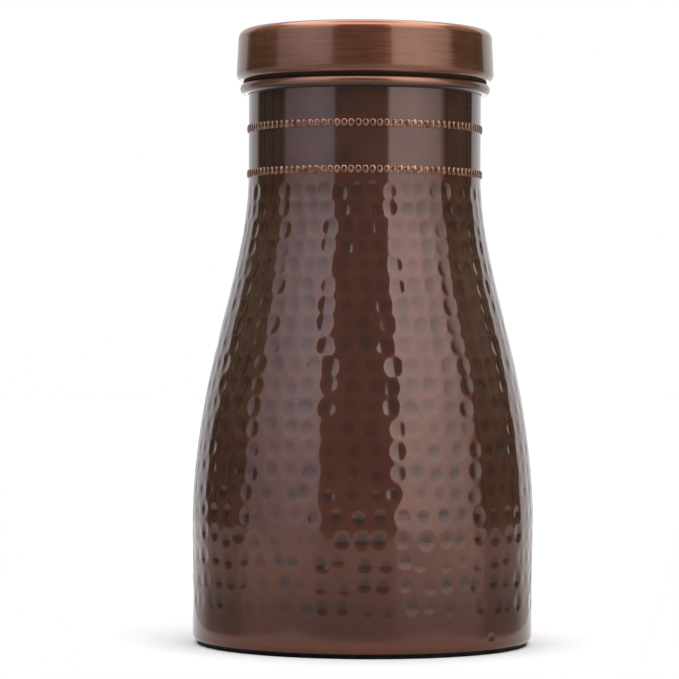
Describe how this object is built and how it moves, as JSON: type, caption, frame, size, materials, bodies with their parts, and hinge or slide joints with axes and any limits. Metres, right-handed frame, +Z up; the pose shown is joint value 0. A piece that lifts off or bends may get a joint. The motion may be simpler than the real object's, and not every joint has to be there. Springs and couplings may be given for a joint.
{
  "type": "water carafe",
  "caption": "Hammered copper carafe with a smooth beaded neck and a push-in lid that carries an upturned drinking cup inside the neck.",
  "frame": {"origin": "middle of the foot, on the plane that the bottle stands on", "axes": "+Z up along the bottle's axis; the bottle is round, so +X and +Y are any two level directions"},
  "size_m": [0.1116, 0.1116, 0.2],
  "materials": {
    "hammered_copper": "hammered, dark antique copper under clear lacquer",
    "base_copper": "dark antique copper, scuffed",
    "neck_copper": "brushed dark antique copper under clear lacquer",
    "rim_copper": "rubbed antique copper",
    "rim_wire": "plain drawn wire",
    "bead_copper": "dark antique copper with rubbed bright edges",
    "seal_rubber": "matt black",
    "lid_copper": "brushed antique copper under clear lacquer",
    "cup_copper": "bare spun copper"
  },
  "bodies": {
    "bottle": {"body_shell": "hammered_copper", "base_plate": "base_copper", "neck_collar": "neck_copper", "mouth_rim": "rim_copper", "rim_wire": "rim_wire", "lower_bead_band": "bead_copper", "upper_bead_band": "bead_copper"},
    "seal": {"seal_ring": "seal_rubber"},
    "lid": {"lid_cap": "lid_copper", "lid_under_plate": "lid_copper", "tumbler_cup": "cup_copper"}
  },
  "joints": [
    {"name": "lid_lift", "type": "slide", "parent": "bottle", "child": "seal", "axis": [0, 0, 1], "range_m": [0, 0.08]},
    {"name": "lid_turn", "type": "hinge", "parent": "seal", "child": "lid", "pos_m": [0, 0, 0.19], "axis": [0, 0, 1], "continuous": true}
  ]
}
